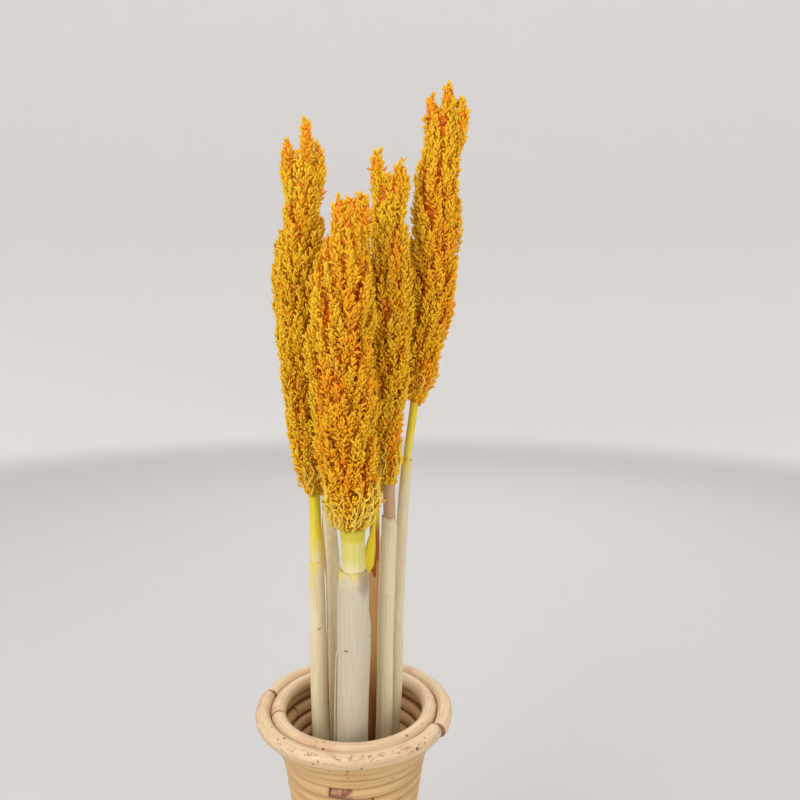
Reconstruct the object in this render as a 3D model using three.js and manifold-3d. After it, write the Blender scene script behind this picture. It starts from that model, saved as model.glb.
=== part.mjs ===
// Six dried sorghum seed heads standing in a coiled cane vase.
// Millimetres, +Z up. The origin is the centre of the base's flat underside, on the vase's axis.
import * as THREE from 'three';
import { mergeVertices } from 'three/addons/utils/BufferGeometryUtils.js';
import Module from 'manifold-3d';

const wasm = await Module();
wasm.setup();

// Vase
const GAP = 0.3;
const MOUTH_DIAMETER = 97;
const RIM_CANE = 10.6;
const RIM_CENTRE_HEIGHT = 235;
const WALL_CANE = 8.5;
const BASE_DIAMETER = 104;
const BASE_THICKNESS = 7;
const WAIST_RADIUS = 37.5;
const WAIST_HEIGHT = 122;
const SHOULDER_RADIUS = 46.3;
const SHOULDER_HEIGHT = 202;
const LIP_RADIUS = 57.5;
const LIP_HEIGHT = 225.6;

// Facets
const WALL_SIDES = 6;
const WALL_STEPS = 20;
const RIM_SIDES = 8;
const RIM_STEPS = 28;
const STALK_SIDES = 8;
const HEAD_SIDES = 12;
const HEAD_STEPS = 12;
const FINGER_SIDES = 7;
const FINGER_STEPS = 4;

// Plants
const FOOT_HEIGHT = BASE_THICKNESS + GAP;
const SHEATH_FOOT_HEIGHT = FOOT_HEIGHT + 7;
const SHEATH_CLEARANCE = 0.5;
const STALK_LEVEL_STEP = 42;
const LEAN_SAMPLES = 160;
const HEAD_FOOT_SHARE = 0.38;
const HEAD_WIDEST_AT = 0.42;
const HEAD_FOOT_ROUNDNESS = [2.2, 0.68];
const HEAD_TOP_ROUNDNESS = [3.4, 0.52];

// A plant's lean is its centre line from the foot, through the waist and the rim, to the head's tip.
// Each finger is a free tuft at the top of a head: its root, its tip and its radius.
const PLANTS = [
  {
    name: 'front',
    stalkRadius: 8,
    sheathRadius: 12.1,
    sheathTop: 350,
    headFoot: 377,
    headTop: 580,
    headRadius: 22,
    lean: [[0, -15, 0], [-0.6, -17, 122], [-0.9, -24, 232], [1.4, -26, 292], [1.8, -27, 368],
      [-2.1, -28, 436], [-5.2, -28, 507], [-2.3, -28, 551], [1.2, -27, 590]],
    fingers: [
      { root: [-6.5, -28, 545], tip: [-4.5, -28, 591], radius: 6 },
      { root: [1, -28, 545], tip: [2.4, -28, 590], radius: 7 },
      { root: [5, -28, 545], tip: [8.8, -27, 594], radius: 6 },
    ],
  },
  {
    name: 'left',
    stalkRadius: 3.9,
    sheathRadius: 6.5,
    sheathTop: 346,
    headFoot: 395,
    headTop: 620,
    headRadius: 16,
    lean: [[-18, -3, 0], [-19.5, -4, 122], [-24.3, -4, 232], [-24.7, -2, 317], [-26.5, 0, 395],
      [-31.5, 2, 458], [-32.9, 4, 525], [-30.6, 5, 604], [-29.1, 6, 645]],
    fingers: [
      { root: [-30, 5, 590], tip: [-29, 6, 645], radius: 6 },
      { root: [-35, 4, 590], tip: [-41, 5, 629], radius: 5 },
      { root: [-27, 8, 590], tip: [-21.5, 8, 629], radius: 5 },
    ],
  },
  {
    name: 'far_left',
    stalkRadius: 3.6,
    sheathRadius: 5.2,
    sheathTop: 378,
    headFoot: 422,
    headTop: 578,
    headRadius: 11.5,
    lean: [[-11, 12, 0], [-12, 13, 122], [-14.6, 13, 232], [-14.6, 15, 300], [-15.8, 19, 342],
      [-20.5, 25, 385], [-29.5, 31, 425], [-39.5, 34, 472], [-46, 34, 525], [-48.2, 34, 578]],
    fingers: [],
  },
  {
    name: 'centre_right',
    stalkRadius: 4.2,
    sheathRadius: 6.1,
    sheathTop: 378,
    headFoot: 402,
    headTop: 604,
    headRadius: 16,
    footRoundness: [1.1, 1.2],
    lean: [[17.5, -2, 0], [18.5, -2, 122], [21.8, -2, 232], [23, 0, 316], [25.4, 2, 368],
      [25, 3, 402], [23.9, 4, 440], [24.8, 4, 480], [26.1, 5, 525], [24.8, 7, 591], [25.6, 8, 623]],
    fingers: [
      { root: [20.5, 7, 580], tip: [18.4, 8, 624.5], radius: 7 },
      { root: [30, 7, 580], tip: [33, 8, 617], radius: 5.6 },
    ],
  },
  {
    name: 'right',
    stalkRadius: 2.9,
    sheathRadius: 4.6,
    sheathTop: 414,
    headFoot: 456,
    headTop: 656,
    headRadius: 17,
    lean: [[17, 14, 0], [20, 14, 122], [29.9, 10, 232], [31.6, 16, 310], [36.2, 21, 397],
      [43, 25, 452], [54, 28, 525], [60.2, 30, 627], [64, 31, 673]],
    fingers: [
      { root: [62, 30.5, 630], tip: [65.4, 31, 673], radius: 5.5 },
      { root: [56, 30, 630], tip: [54.6, 31, 665], radius: 5 },
      { root: [67, 31, 630], tip: [73.5, 32, 665], radius: 5 },
    ],
  },
  {
    name: 'back',
    stalkRadius: 3.6,
    sheathRadius: 5.2,
    sheathTop: 336,
    headFoot: 384,
    headTop: 526,
    headRadius: 16,
    lean: [[1, 17, 0], [4, 19, 122], [11.2, 19, 232], [12.6, 27, 305], [14.6, 33, 360], [13, 37, 400],
      [8, 40, 467], [4.2, 40, 525]],
    fingers: [],
  },
];

const LOOKS = {
  rim: { color: 0xcdb084, roughness: 0.55 },
  wall: { color: 0xc9a56a, roughness: 0.6 },
  base: { color: 0xb08c58, roughness: 0.75 },
  stalk: { color: 0xd9b84a, roughness: 0.7 },
  sheath: { color: 0xe6dcba, roughness: 0.7 },
  head: { color: 0xe2a51e, roughness: 0.85 },
};

const vase = new THREE.Group();
const plants = new THREE.Group();

function addMesh(group, name, geometry, look) {
  const material = new THREE.MeshStandardMaterial({ ...LOOKS[look], metalness: 0 });
  const mesh = new THREE.Mesh(geometry, material);
  mesh.name = name;
  group.add(mesh);
  return mesh;
}

// A turned solid standing on +Z, from [radius, height] pairs that run up its outside.
function turned(profile, sides) {
  const outline = profile.map(([radius, height]) => new THREE.Vector2(radius, height));
  return new THREE.LatheGeometry(outline, sides).rotateX(Math.PI / 2);
}

// The sideways place of a centre line at a given height.
function leanThrough(points) {
  const places = points.map((point) => new THREE.Vector3(...point));
  const samples = new THREE.CatmullRomCurve3(places, false, 'centripetal').getPoints(LEAN_SAMPLES);
  return (height) => {
    const found = samples.findIndex((sample) => sample.z >= height);
    const next = found < 0 ? LEAN_SAMPLES : Math.max(found, 1);
    const below = samples[next - 1];
    const share = (height - below.z) / (samples[next].z - below.z);
    return new THREE.Vector3().lerpVectors(below, samples[next], share);
  };
}

// Moves each vertex of an upright solid sideways by the lean at its height.
function leaning(geometry, lean) {
  const position = geometry.attributes.position;
  for (let i = 0; i < position.count; i += 1) {
    const place = lean(position.getZ(i));
    position.setX(i, position.getX(i) + place.x);
    position.setY(i, position.getY(i) + place.y);
  }
  geometry.computeVertexNormals();
  return geometry;
}

function solidOf(geometry) {
  const plain = geometry.clone();
  plain.deleteAttribute('normal');
  plain.deleteAttribute('uv');
  const merged = mergeVertices(plain, 1e-4);
  const corners = merged.index.array;
  const kept = [];
  for (let i = 0; i < corners.length; i += 3) {
    const [a, b, c] = corners.slice(i, i + 3);
    if (a !== b && b !== c && c !== a) {
      kept.push(a, b, c);
    }
  }
  const vertProperties = new Float32Array(merged.attributes.position.array);
  return new wasm.Manifold(new wasm.Mesh({ numProp: 3, vertProperties, triVerts: new Uint32Array(kept) }));
}

function geometryOf(solid) {
  const mesh = solid.getMesh();
  const geometry = new THREE.BufferGeometry();
  geometry.setAttribute('position', new THREE.BufferAttribute(new Float32Array(mesh.vertProperties), 3));
  geometry.setIndex(Array.from(mesh.triVerts));
  geometry.computeVertexNormals();
  return geometry;
}

// Heights shared by a stalk and its sheath, so that their facets stay parallel.
function levelsBetween(from, to) {
  const levels = [from];
  const first = Math.floor(from / STALK_LEVEL_STEP) + 1;
  for (let height = first * STALK_LEVEL_STEP; height < to - 1; height += STALK_LEVEL_STEP) {
    levels.push(height);
  }
  levels.push(to);
  return levels;
}

function makeStalk(plant, lean) {
  const top = plant.headFoot - GAP;
  const side = levelsBetween(FOOT_HEIGHT, top).map((height) => [plant.stalkRadius, height]);
  const profile = [[0, FOOT_HEIGHT], ...side, [0, top]];
  addMesh(plants, `stalk_${plant.name}`, leaning(turned(profile, STALK_SIDES), lean), 'stalk');
}

// The leaf sheath is an open tube wrapped round the stalk.
function makeLeafSheath(plant, lean) {
  const levels = levelsBetween(SHEATH_FOOT_HEIGHT, plant.sheathTop);
  const inside = plant.stalkRadius + SHEATH_CLEARANCE;
  const outer = levels.map((height) => [plant.sheathRadius, height]);
  const inner = levels.map((height) => [inside, height]).reverse();
  const profile = [...outer, ...inner, outer[0]];
  addMesh(plants, `leaf_sheath_${plant.name}`, leaning(turned(profile, STALK_SIDES), lean), 'sheath');
}

// Falls from 1 to 0 as the share goes from 0 to 1, like a quarter of a squared-off circle.
function roundedEnd(share, [power, root]) {
  return (1 - share ** power) ** root;
}

// Share of the full radius at a share of the head's length: a waisted foot and a rounded top.
function headSwell(share, footRoundness) {
  if (share < HEAD_WIDEST_AT) {
    const down = (HEAD_WIDEST_AT - share) / HEAD_WIDEST_AT;
    return HEAD_FOOT_SHARE + (1 - HEAD_FOOT_SHARE) * roundedEnd(down, footRoundness);
  }
  const up = (share - HEAD_WIDEST_AT) / (1 - HEAD_WIDEST_AT);
  return roundedEnd(up, HEAD_TOP_ROUNDNESS);
}

function makeFinger(finger) {
  const foot = finger.root[2];
  const length = finger.tip[2] - foot;
  const profile = [[0, foot]];
  for (let step = 1; step < FINGER_STEPS; step += 1) {
    const share = step / FINGER_STEPS;
    profile.push([finger.radius * Math.sqrt(Math.sin(Math.PI * share)), foot + length * share]);
  }
  profile.push([0, finger.tip[2]]);
  return leaning(turned(profile, FINGER_SIDES), leanThrough([finger.root, finger.tip]));
}

function makeSeedHead(plant, lean) {
  const footRoundness = plant.footRoundness ?? HEAD_FOOT_ROUNDNESS;
  const profile = [[0, plant.headFoot]];
  for (let step = 0; step < HEAD_STEPS; step += 1) {
    const share = Math.sin((Math.PI / 2) * (step / HEAD_STEPS));
    const height = plant.headFoot + (plant.headTop - plant.headFoot) * share;
    profile.push([plant.headRadius * headSwell(share, footRoundness), height]);
  }
  profile.push([0, plant.headTop]);
  let solid = solidOf(leaning(turned(profile, HEAD_SIDES), lean));
  for (const finger of plant.fingers) {
    solid = solid.add(solidOf(makeFinger(finger)));
  }
  addMesh(plants, `seed_head_${plant.name}`, geometryOf(solid), 'head');
}

function makePlants() {
  for (const plant of PLANTS) {
    const lean = leanThrough(plant.lean);
    makeStalk(plant, lean);
    makeLeafSheath(plant, lean);
    makeSeedHead(plant, lean);
  }
}

function makeBase() {
  const radius = BASE_DIAMETER / 2;
  const profile = [[0, 0], [radius, 0], [radius, BASE_THICKNESS], [0, BASE_THICKNESS]];
  addMesh(vase, 'base', turned(profile, RIM_STEPS), 'base');
}

// The rings of the wall stack touching along a curve from the base, in at the waist and out to the lip.
function makeWall() {
  const footRadius = (BASE_DIAMETER - WALL_CANE) / 2;
  const footHeight = BASE_THICKNESS + GAP + WALL_CANE / 2;
  const outline = new THREE.SplineCurve([
    new THREE.Vector2(footRadius, footHeight),
    new THREE.Vector2((footRadius + WAIST_RADIUS) / 2, (footHeight + WAIST_HEIGHT) * 0.42),
    new THREE.Vector2(WAIST_RADIUS, WAIST_HEIGHT),
    new THREE.Vector2(SHOULDER_RADIUS, SHOULDER_HEIGHT),
    new THREE.Vector2(LIP_RADIUS, LIP_HEIGHT),
  ]);
  const spaces = Math.floor(outline.getLength() / (WALL_CANE + GAP));
  for (let i = 0; i <= spaces; i += 1) {
    const place = outline.getPointAt(i / spaces);
    const ring = new THREE.TorusGeometry(place.x, WALL_CANE / 2, WALL_SIDES, WALL_STEPS);
    const name = `wall_cane_${String(i + 1).padStart(2, '0')}`;
    addMesh(vase, name, ring, 'wall').position.z = place.y;
  }
}

// Two thicker canes lie side by side round the mouth.
function makeRim() {
  const innerRadius = (MOUTH_DIAMETER + RIM_CANE) / 2;
  const outerRadius = innerRadius + RIM_CANE + GAP;
  const inner = new THREE.TorusGeometry(innerRadius, RIM_CANE / 2, RIM_SIDES, RIM_STEPS);
  const outer = new THREE.TorusGeometry(outerRadius, RIM_CANE / 2, RIM_SIDES, RIM_STEPS);
  addMesh(vase, 'rim_cane_inner', inner, 'rim').position.z = RIM_CENTRE_HEIGHT;
  addMesh(vase, 'rim_cane_outer', outer, 'rim').position.z = RIM_CENTRE_HEIGHT;
}

makeBase();
makeWall();
makeRim();
makePlants();

const sorghum = new THREE.Group();
sorghum.add(vase, plants);

export default sorghum;
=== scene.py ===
"""Looks for six dried sorghum seed heads standing in a coiled cane vase.

Metres, +Z up, origin at the centre of the vase's underside. Every piece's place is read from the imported
model: a head's outline is cut from its solid, and each ring of cane is sized from its solid's box.
"""

import math

import bpy
import numpy as np
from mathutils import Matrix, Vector


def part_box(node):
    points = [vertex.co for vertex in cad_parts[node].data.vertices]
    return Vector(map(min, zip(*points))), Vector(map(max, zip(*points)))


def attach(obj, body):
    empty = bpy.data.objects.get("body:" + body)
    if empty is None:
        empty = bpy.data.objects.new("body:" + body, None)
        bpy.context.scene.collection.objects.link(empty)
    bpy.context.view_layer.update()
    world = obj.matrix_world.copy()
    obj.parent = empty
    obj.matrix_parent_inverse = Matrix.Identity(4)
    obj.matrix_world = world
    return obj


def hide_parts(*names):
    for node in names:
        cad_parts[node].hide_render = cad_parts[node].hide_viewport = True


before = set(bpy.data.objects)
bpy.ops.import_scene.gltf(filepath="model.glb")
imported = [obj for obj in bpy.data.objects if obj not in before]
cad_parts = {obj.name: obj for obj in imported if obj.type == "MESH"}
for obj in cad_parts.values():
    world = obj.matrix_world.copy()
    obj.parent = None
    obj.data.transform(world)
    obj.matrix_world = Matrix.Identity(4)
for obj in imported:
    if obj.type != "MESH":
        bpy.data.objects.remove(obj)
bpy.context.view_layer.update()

MM = 0.001
TURN = 2 * math.pi
GOLDEN_ANGLE = math.radians(137.508)
UP = np.array([0.0, 0.0, 1.0])
ACROSS = np.array([[1.0, 0.0, 0.0]])

# Cane
WALL_CANE_RADIUS = 4.27 * MM
RIM_CANE_RADIUS = 5.35 * MM
CANE_STEP = 2.6 * MM
CANE_SIDES = 18
RING_SQUEEZE = 0.12 * MM
RIM_HEIGHT = (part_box("rim_cane_inner")[0].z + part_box("rim_cane_inner")[1].z) / 2

# A plant is this one, changed by what PLANTS says of it.
USUAL_PLANT = dict(
    # The stalk: how much painted shade browns it, how faded it is, and how far it swells above its leaf.
    painted_stalk_shade=0.0, faded=0.15, swelling=0.0,
    # The dry leaf: how ragged its top is, how much painted shade browns it, how stained it is, and whether
    # dye dripped on it.
    tear=4 * MM, brown=0.0, stained=0.0, drip=False,
    # The head: the length of a grain, and how many loose strands hang round its foot.
    grain=4.8 * MM, strands=10,
)

# Each plant: its random seed, how far down the yellow dye runs from the head, how many times the dry leaf
# is wound, the bearing of its open edge, how far its top slants, how bleached it is, how near its top it
# closes on the stalk, how far the tufts lean out, how thick the head's fingers are and how golden it is.
PLANTS = {
    "front": dict(seed=11, dye=38 * MM, turns=2.3, seam=-158, drop=50 * MM, pale=1.0, hug=9 * MM,
                  splay=25, stub=6.2 * MM, tone=0.43, tear=5 * MM, faded=0.9, stained=1.0,
                  grain=4.6 * MM, strands=72),
    "left": dict(seed=23, dye=66 * MM, turns=1.5, seam=-20, drop=2 * MM, pale=0.2, hug=60 * MM, splay=18,
                 stub=4.2 * MM, tone=0.64, tear=1 * MM, swelling=0.75 * MM, drip=True, strands=14),
    "far_left": dict(seed=37, dye=14 * MM, turns=1.4, seam=150, drop=8 * MM, pale=0.3, hug=14 * MM,
                     splay=18, stub=4.5 * MM, tone=0.62, painted_stalk_shade=0.15, grain=4.5 * MM, strands=8),
    # The centre-right stalk is browned in part as painted shade.
    "centre_right": dict(seed=41, dye=3 * MM, turns=1.5, seam=-150, drop=10 * MM, pale=0.3, hug=6 * MM,
                         splay=19, stub=5.2 * MM, tone=0.61, painted_stalk_shade=0.6, strands=14),
    "right": dict(seed=59, dye=74 * MM, turns=1.6, seam=-70, drop=92 * MM, pale=0.4, hug=30 * MM, splay=19,
                  stub=4.8 * MM, tone=0.52),
    # The back plant's stalk and dry leaf are browned all over as painted shade, darker towards the rim.
    "back": dict(seed=67, dye=30 * MM, turns=1.4, seam=80, drop=12 * MM, pale=0.0, hug=10 * MM, splay=20,
                 stub=4.5 * MM, tone=0.48, painted_stalk_shade=1.0, brown=1.0, grain=4.5 * MM),
}

# Tufts of grain
TUFT_AREA = 46 * MM * MM
TUFT_GRAINS = 16
TUFT_RADIUS = 2.0 * MM
TUFT_RISE = 30 * MM
TUFT_STEPS = 7
GRAIN_SIDES = 6
GRAIN_GIRTH = 0.19
PIECE_GRAINS = 5200
HEAD_STEPS = 60
FINGER_STEPS = 16
FINGER_LENGTH = 52 * MM
PACKED_SHARE = 0.55
PACKED_SIDES = 26
RACHIS_STEPS = 24
RACHIS_SIDES = 8
BRANCH_SIDES = 5
STRAND_STEPS = 16

# Stalks and leaves
STALK_STEPS = 96
STALK_SIDES = 28
LEAF_THICKNESS = 0.75 * MM
LEAF_ROWS = 110
LEAF_COLUMNS_PER_TURN = 26

# Finishes
BUMP_STRENGTH = 0.6

# Camera
CAMERA_PLACE = (32.8 * MM, -526.8 * MM, RIM_HEIGHT + 297.7 * MM)
CAMERA_DIP = math.radians(8.06)
CAMERA_LENS = 35.3


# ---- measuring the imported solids

def smoothed(path, rounds):
    """A path eased between its two ends."""
    for _ in range(rounds):
        path[1:-1] = (path[:-2] + 2 * path[1:-1] + path[2:]) / 4
    return path


class Outline:
    """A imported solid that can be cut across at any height."""

    def __init__(self, node):
        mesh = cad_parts[node].data
        self.points = np.array([v.co for v in mesh.vertices])
        self.edges = np.array([e.vertices[:] for e in mesh.edges])
        self.low, self.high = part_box(node)

    def cut(self, height):
        """The middle and the radius of the outline at one height."""
        start = self.points[self.edges[:, 0]]
        end = self.points[self.edges[:, 1]]
        crossing = (start[:, 2] - height) * (end[:, 2] - height) < 0
        start, end = start[crossing], end[crossing]
        share = (height - start[:, 2]) / (end[:, 2] - start[:, 2])
        places = start + (end - start) * share[:, None]
        low, high = places.min(0), places.max(0)
        return (low + high) / 2, (high - low)[:2].mean() / 2

    def line(self, from_height, to_height, count):
        """Heights, smoothed middles and radii from one height to another."""
        heights = np.linspace(from_height, to_height, count)
        cuts = [self.cut(height) for height in heights]
        middles = smoothed(np.array([middle for middle, _ in cuts]), 3)
        return heights, middles, np.array([radius for _, radius in cuts])

    def tips(self):
        """The points with no higher neighbour: the tips of the head and of its fingers."""
        keys = [tuple(np.round(point, 6)) for point in self.points]
        highest = {}
        for a, b in self.edges:
            for one, other in ((a, b), (b, a)):
                highest[keys[one]] = max(highest.get(keys[one], -1.0), self.points[other][2])
        return [np.array(key) for key, height in highest.items() if height <= key[2]
                and key[2] > self.low.z + 0.7 * (self.high.z - self.low.z)]


class Spire:
    """A tapering column that tufts grow on: the body of a head, or one finger at its top."""

    def __init__(self, heights, middles, radii):
        self.heights, self.middles, self.radii = heights, middles, radii
        self.low, self.high = heights[0], heights[-1]

    def middle(self, height):
        places = [np.interp(height, self.heights, self.middles[:, axis]) for axis in (0, 1)]
        return np.stack([*places, np.asarray(height)], -1)

    def radius(self, height):
        return np.interp(height, self.heights, self.radii)


def body_and_fingers(outline, stub):
    """The spires of one head, from its solid."""
    tips = sorted(outline.tips(), key=lambda tip: tip[2])
    body_top = tips[0][2] - (8 * MM if len(tips) > 1 else 0.4 * MM)
    heights, middles, radii = outline.line(outline.low.z + 0.3 * MM, body_top, HEAD_STEPS)
    spires = [Spire(heights, middles, radii)]
    if len(tips) == 1:
        return spires
    for tip in tips:
        root_height = tip[2] - FINGER_LENGTH
        root = spires[0].middle(min(root_height, body_top))
        share = np.linspace(0, 1, FINGER_STEPS)
        places = root + (tip - root) * share[:, None]
        places[:, :2] += (tip - root)[:2] * 0.55 * np.sin(math.pi * share)[:, None]
        swell = stub * (0.55 + 0.45 * (1 - share ** 6) ** 0.5)
        spires.append(Spire(places[:, 2], places, swell))
    return spires


# ---- building meshes

class Build:
    """Gathers the points, the faces and the per-point values of one piece."""

    def __init__(self):
        self.points, self.faces, self.values, self.maps = [], [], {}, []
        self.size = 0

    def add(self, points, faces, uv=None, **values):
        points = np.asarray(points).reshape(-1, 3)
        self.points.append(points)
        self.faces += [np.asarray(face) + self.size for face in faces]
        for name, value in values.items():
            spread = np.broadcast_to(np.asarray(value, float).reshape(-1), (len(points),))
            self.values.setdefault(name, []).append(spread)
        if uv is not None:
            self.maps.append(uv)
        self.size += len(points)

    def piece(self, name, material, slot, replaces=()):
        mesh = bpy.data.meshes.new(name)
        corners = np.concatenate([face.ravel() for face in self.faces])
        sides = np.concatenate([np.full(len(face), face.shape[1]) for face in self.faces])
        mesh.vertices.add(self.size)
        mesh.vertices.foreach_set("co", np.concatenate(self.points).astype(np.float32).ravel())
        mesh.loops.add(len(corners))
        mesh.loops.foreach_set("vertex_index", corners.astype(np.int32))
        mesh.polygons.add(len(sides))
        starts = np.concatenate([[0], np.cumsum(sides)[:-1]])
        mesh.polygons.foreach_set("loop_start", starts.astype(np.int32))
        mesh.polygons.foreach_set("use_smooth", np.ones(len(sides), bool))
        for value, parts in self.values.items():
            attribute = mesh.attributes.new(value, "FLOAT", "POINT")
            attribute.data.foreach_set("value", np.concatenate(parts).astype(np.float32))
        if self.maps:
            layer = mesh.uv_layers.new(name="OFBake")
            layer.data.foreach_set("uv", np.concatenate(self.maps).astype(np.float32).ravel())
        mesh.update(calc_edges=True)
        mesh.validate()
        made = bpy.data.objects.new(name, mesh)
        bpy.context.scene.collection.objects.link(made)
        mesh.materials.append(material)
        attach(made, "root")
        if replaces:
            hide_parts(*replaces)
        return made


def unit(vectors):
    return vectors / np.maximum(np.linalg.norm(vectors, axis=-1, keepdims=True), 1e-12)


def smooth_step(low, high, value):
    share = np.clip((value - low) / (high - low), 0, 1)
    return share * share * (3 - 2 * share)


def square_to(along, side):
    """Two directions square to each step of each path, and to each other."""
    across = unit(np.cross(np.broadcast_to(side[:, None], along.shape), along))
    return across, np.cross(along, across)


def outward(bearings):
    """The level direction of each bearing, and the one to its left."""
    out = np.stack([np.cos(bearings), np.sin(bearings), np.zeros(len(bearings))], -1)
    return out, np.cross(UP, out)


def wrapped(steps, around):
    """The faces of a skin that has so many rings, each with so many points round it."""
    step, spoke = np.meshgrid(np.arange(steps - 1), np.arange(around), indexing="ij")
    after = (spoke + 1) % around
    return np.stack([step * around + spoke, step * around + after,
                     (step + 1) * around + after, (step + 1) * around + spoke], -1).reshape(-1, 4)


def closed(steps, around):
    """The faces of a skin whose first and last rings are closed on two middle points, which come last."""
    ring = np.arange(around)
    beyond = (ring + 1) % around
    last = (steps - 1) * around
    foot = np.stack([np.full(around, steps * around), beyond, ring], -1)
    top = np.stack([np.full(around, steps * around + 1), last + ring, last + beyond], -1)
    return [wrapped(steps, around), foot, top]


def tubes(build, centres, radii, side, count, **values):
    """Closed round tubes. Centres are (paths, steps, 3), radii (paths, steps) or (paths, steps, count),
    and side is a direction that no path runs along. Values are shaped as radii are, or one number."""
    paths, steps = centres.shape[:2]
    along = unit(np.gradient(centres, axis=1))
    across, beside = square_to(along, side)
    turn = np.linspace(0, TURN, count, endpoint=False)
    rays = np.cos(turn)[:, None] * across[:, :, None, :] + np.sin(turn)[:, None] * beside[:, :, None, :]
    thick = radii[..., None] if radii.ndim == 2 else radii
    skin = centres[:, :, None, :] + rays * thick[..., None]
    ends = centres[:, [0, -1]]
    per_path = steps * count + 2
    points = np.concatenate([skin.reshape(paths, -1, 3), ends], 1)
    shift = np.arange(paths)[:, None, None] * per_path
    faces = [(part[None] + shift).reshape(-1, part.shape[1]) for part in closed(steps, count)]
    spread = {}
    for name, value in values.items():
        value = np.asarray(value, float)
        value = np.broadcast_to(value if value.ndim == 3 else value[..., None], (paths, steps, count))
        spread[name] = np.concatenate([value.reshape(paths, -1), value[:, [0, -1], 0]], 1)
    build.add(points, faces, **spread)


# ---- materials

class Wire:
    """A node's output. Arithmetic on it adds Math nodes."""

    def __init__(self, paint, end):
        self.paint, self.end = paint, end

    def maths(self, operation, *values):
        return self.paint.node("ShaderNodeMath", {"operation": operation}, dict(enumerate(values)))

    def __add__(self, other):
        return self.maths("ADD", self, other)

    def __sub__(self, other):
        return self.maths("SUBTRACT", self, other)

    def __rsub__(self, other):
        return self.maths("SUBTRACT", other, self)

    def __mul__(self, other):
        return self.maths("MULTIPLY", self, other)

    def __pow__(self, other):
        return self.maths("POWER", self, other)

    __radd__ = __add__
    __rmul__ = __mul__

    def size(self):
        return self.maths("ABSOLUTE", self)

    def ramp(self, low, high):
        """0 below low, 1 above high, and smooth between. Low may be the larger."""
        settings = {"interpolation_type": "SMOOTHSTEP"}
        return self.paint.node("ShaderNodeMapRange", settings, {0: self, 1: low, 2: high, 3: 0.0, 4: 1.0})


class Paint:
    """A material that is written as expressions."""

    def __init__(self, name, specular=0.35):
        self.material = bpy.data.materials.new(name)
        self.material.use_nodes = True
        self.tree = self.material.node_tree
        self.shader = self.tree.nodes["Principled BSDF"]
        self.put("Specular IOR Level", specular)

    def node(self, kind, settings, values, output=0):
        made = self.tree.nodes.new(kind)
        for name, setting in settings.items():
            setattr(made, name, setting)
        for name, value in values.items():
            self.fill(made.inputs[name], value)
        return Wire(self, made.outputs[output])

    def fill(self, socket, value):
        if isinstance(value, Wire):
            self.tree.links.new(value.end, socket)
        else:
            socket.default_value = value

    def put(self, name, value):
        self.fill(self.shader.inputs[name], value)

    def place(self):
        return self.node("ShaderNodeTexCoord", {}, {}, "Object")

    def parts(self, vector):
        return [self.node("ShaderNodeSeparateXYZ", {}, {0: vector}, axis) for axis in range(3)]

    def join(self, x, y, z):
        return self.node("ShaderNodeCombineXYZ", {}, {0: x, 1: y, 2: z})

    def value(self, name):
        return self.node("ShaderNodeAttribute", {"attribute_name": name}, {}, "Fac")

    def noise(self, vector, scale, detail=3.0, roughness=0.55):
        values = {"Vector": vector, "Scale": scale, "Detail": detail, "Roughness": roughness}
        return self.node("ShaderNodeTexNoise", {}, values)

    def mix(self, under, over, share):
        values = {0: share, 6: under, 7: over}
        return self.node("ShaderNodeMix", {"data_type": "RGBA"}, values, 2)

    def stretched(self, x_scale, y_scale, z_scale, detail=3.0, roughness=0.6):
        """Noise with a scale of its own along each axis."""
        x, y, z = self.parts(self.place())
        return self.noise(self.join(x * x_scale, y * y_scale, z * z_scale), 1.0, detail, roughness)

    def finished(self, colour, roughness, height, distance):
        """The material, once it has its colour, its roughness and its bumps."""
        self.put("Base Color", colour)
        self.put("Roughness", roughness)
        values = {"Strength": BUMP_STRENGTH, "Distance": distance, "Height": height}
        self.put("Normal", self.node("ShaderNodeBump", {}, values))
        return self.material


def tint(red, green, blue):
    """A display colour, 0 to 255, as the linear colour that a socket takes."""
    shares = (red / 255, green / 255, blue / 255)
    linear = [share / 12.92 if share < 0.04045 else ((share + 0.055) / 1.055) ** 2.4 for share in shares]
    return (*linear, 1.0)


def grain_paint():
    """Dyed grain: golden outside, where the dye washed out and where the tone carries painted window light;
    redder orange deep inside as painted shade; sunnier at the tips.
    """
    paint = Paint("dyed_grain", 0.25)
    tip = paint.value("tip")
    washed = paint.stretched(60.0, 60.0, 22.0, 2.0, 0.55)
    grit = paint.noise(paint.place(), 900.0, 2.0)
    warm = paint.value("tone") * 0.55 + washed * 0.95 - 0.26
    golden = paint.mix(tint(246, 152, 8), tint(236, 176, 22), warm.ramp(0.12, 0.5))
    sunny = paint.mix(golden, tint(234, 198, 38), warm.ramp(0.40, 0.78) * tip.ramp(0.05, 0.8))
    based = paint.mix(tint(246, 144, 6), sunny, tip.ramp(0.0, 0.35) * 0.6 + 0.4)
    # Painted shade: grains deep in a tuft or turned in towards the rachis are tinted redder orange.
    deep = paint.mix(tint(252, 138, 10), based, paint.value("outness").ramp(0.0, 0.5))
    speckled = paint.mix(deep, tint(214, 132, 16), grit.ramp(0.60, 0.78) * 0.25)
    return paint.finished(speckled, grit * 0.2 + 0.5, grit, 0.06 * MM)


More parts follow.
